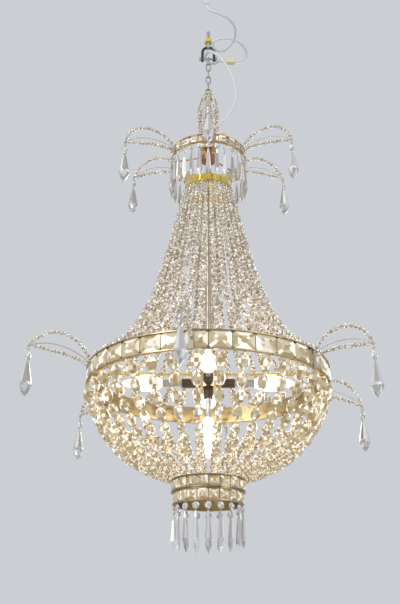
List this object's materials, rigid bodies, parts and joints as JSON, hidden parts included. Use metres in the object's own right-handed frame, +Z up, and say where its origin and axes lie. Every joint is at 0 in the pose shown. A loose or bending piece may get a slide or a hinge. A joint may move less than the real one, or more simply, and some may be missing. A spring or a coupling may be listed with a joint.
{
  "type": "crystal chandelier",
  "caption": "Tent-and-basket crystal chandelier on a ceiling hook, with a beaded neck, a crown ring, bead sprays with pear drops and candle lamps inside.",
  "frame": {"origin": "ceiling plane on the axis of the hook's shank", "axes": "+Z up along the hook's shank, -Y towards the viewer of the picture, +X to the viewer's right"},
  "size_m": [0.7069, 0.762, 1.2645],
  "materials": {
    "galvanised": "satin",
    "shackle_steel": "satin",
    "yellow_plastic": "gloss",
    "white_plastic": "gloss",
    "cream_plastic": "matte",
    "orange_plastic": "matte",
    "gilt": "polished",
    "dark_plastic": "matte",
    "grey_metal": "satin",
    "crystal": "polished",
    "bulb_glass": "polished",
    "copper": "polished",
    "wire_insulation": "matte"
  },
  "bodies": {
    "ceiling": {"ceiling_hook": "galvanised", "hook_cap": "yellow_plastic", "ceiling_outlet": "white_plastic", "supply_cable": "wire_insulation"},
    "shackle": {"shackle_bow": "shackle_steel", "shackle_pin": "shackle_steel", "terminal_block": "cream_plastic"},
    "fixture": {"basket_back_left": "crystal", "basket_back_right": "crystal", "basket_front_left": "crystal", "basket_front_right": "crystal", "bottom_crystals_lower": "crystal", "bottom_crystals_upper": "crystal", "bottom_prisms": "crystal", "bottom_ring_lower": "gilt", "bottom_ring_upper": "gilt", "bulb_bases": "grey_metal", "bulb_globes": "bulb_glass", "chain_links": "galvanised", "collar_spider": "gilt", "crown_band": "gilt", "crown_crystals": "crystal", "crown_prisms": "crystal", "crown_spider": "copper", "crown_spray_frames": "gilt", "crown_spray_strings": "crystal", "crown_terminal": "orange_plastic", "lamp_flex": "wire_insulation", "lamp_hub": "gilt", "lampholders": "dark_plastic", "main_ring_band": "gilt", "main_ring_crystals": "crystal", "main_spider": "gilt", "neck_cap": "gilt", "neck_dish": "gilt", "neck_strings": "crystal", "ring_spray_frames": "gilt", "ring_spray_strings": "crystal", "stem_tube": "gilt", "stem_wiring": "wire_insulation", "tent_back_left": "crystal", "tent_back_right": "crystal", "tent_collar": "gilt", "tent_front_left": "crystal", "tent_front_right": "crystal"},
    "crown_drop_1": {"crown_drop_1": "crystal"},
    "crown_drop_2": {"crown_drop_2": "crystal"},
    "crown_drop_3": {"crown_drop_3": "crystal"},
    "crown_drop_4": {"crown_drop_4": "crystal"},
    "crown_drop_5": {"crown_drop_5": "crystal"},
    "crown_drop_6": {"crown_drop_6": "crystal"},
    "ring_drop_1": {"ring_drop_1": "crystal"},
    "ring_drop_2": {"ring_drop_2": "crystal"},
    "ring_drop_3": {"ring_drop_3": "crystal"},
    "ring_drop_4": {"ring_drop_4": "crystal"},
    "ring_drop_5": {"ring_drop_5": "crystal"},
    "ring_drop_6": {"ring_drop_6": "crystal"}
  },
  "joints": [
    {"name": "shackle_swing", "type": "hinge", "parent": "ceiling", "child": "shackle", "pos_m": [0, 0, -0.029], "axis": [0, 1, 0], "range_deg": [-8, 8], "deforming": ["supply_cable"]},
    {"name": "chain_swing", "type": "hinge", "parent": "shackle", "child": "fixture", "pos_m": [0, 0, -0.06], "axis": [1, 0, 0], "range_deg": [-8, 8], "deforming": ["lamp_flex"]},
    {"name": "crown_drop_1_swing", "type": "hinge", "parent": "fixture", "child": "crown_drop_1", "pos_m": [0, -0.21425, -0.37064], "axis": [0, -1, 0], "range_deg": [-45, 45]},
    {"name": "crown_drop_2_swing", "type": "hinge", "parent": "fixture", "child": "crown_drop_2", "pos_m": [0.18419, -0.10634, -0.38773], "axis": [0.866, -0.5, 0], "range_deg": [-45, 45]},
    {"name": "crown_drop_3_swing", "type": "hinge", "parent": "fixture", "child": "crown_drop_3", "pos_m": [0.18459, 0.10657, -0.35137], "axis": [0.866, 0.5, 0], "range_deg": [-45, 45]},
    {"name": "crown_drop_4_swing", "type": "hinge", "parent": "fixture", "child": "crown_drop_4", "pos_m": [0, 0.21425, -0.37064], "axis": [0, 1, 0], "range_deg": [-45, 45]},
    {"name": "crown_drop_5_swing", "type": "hinge", "parent": "fixture", "child": "crown_drop_5", "pos_m": [-0.18403, 0.10625, -0.34712], "axis": [-0.866, 0.5, 0], "range_deg": [-45, 45]},
    {"name": "crown_drop_6_swing", "type": "hinge", "parent": "fixture", "child": "crown_drop_6", "pos_m": [-0.18315, -0.10574, -0.39406], "axis": [-0.866, -0.5, 0], "range_deg": [-45, 45]},
    {"name": "ring_drop_1_swing", "type": "hinge", "parent": "fixture", "child": "ring_drop_1", "pos_m": [-0.04537, -0.36949, -0.90645], "axis": [-0.1219, -0.9925, 0], "range_deg": [-45, 45]},
    {"name": "ring_drop_2_swing", "type": "hinge", "parent": "fixture", "child": "ring_drop_2", "pos_m": [0.29716, -0.22393, -0.91483], "axis": [0.7986, -0.6018, 0], "range_deg": [-45, 45]},
    {"name": "ring_drop_3_swing", "type": "hinge", "parent": "fixture", "child": "ring_drop_3", "pos_m": [0.3418, 0.14509, -0.92317], "axis": [0.9205, 0.3907, 0], "range_deg": [-45, 45]},
    {"name": "ring_drop_4_swing", "type": "hinge", "parent": "fixture", "child": "ring_drop_4", "pos_m": [0.04525, 0.36855, -0.92317], "axis": [0.1219, 0.9925, 0], "range_deg": [-45, 45]},
    {"name": "ring_drop_5_swing", "type": "hinge", "parent": "fixture", "child": "ring_drop_5", "pos_m": [-0.29655, 0.22346, -0.92317], "axis": [-0.7986, 0.6018, 0], "range_deg": [-45, 45]},
    {"name": "ring_drop_6_swing", "type": "hinge", "parent": "fixture", "child": "ring_drop_6", "pos_m": [-0.34109, -0.14478, -0.88769], "axis": [-0.9205, -0.3907, 0], "range_deg": [-45, 45]}
  ]
}
